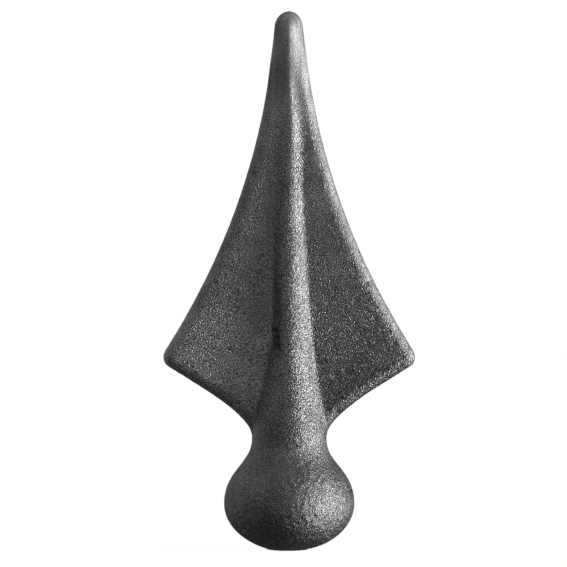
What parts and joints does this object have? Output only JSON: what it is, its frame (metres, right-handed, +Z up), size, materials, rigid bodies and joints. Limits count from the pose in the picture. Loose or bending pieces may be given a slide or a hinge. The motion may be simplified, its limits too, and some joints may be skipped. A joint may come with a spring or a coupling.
{
  "type": "fence finial",
  "caption": "Forged spear-head finial with a flattened ball foot, two swept barbs and a ribbed blade that draws in to a blunt tip.",
  "frame": {"origin": "middle of the round weld seat under the ball", "axes": "+Z up the rib to the tip, +X across to one barb, -Y toward someone facing the blade"},
  "size_m": [0.0704, 0.0366, 0.15],
  "materials": {
    "forged_iron": "bare dark forging skin, fine sparkling grain, unpainted"
  },
  "bodies": {
    "root": {"spearhead": "forged_iron"}
  },
  "joints": []
}
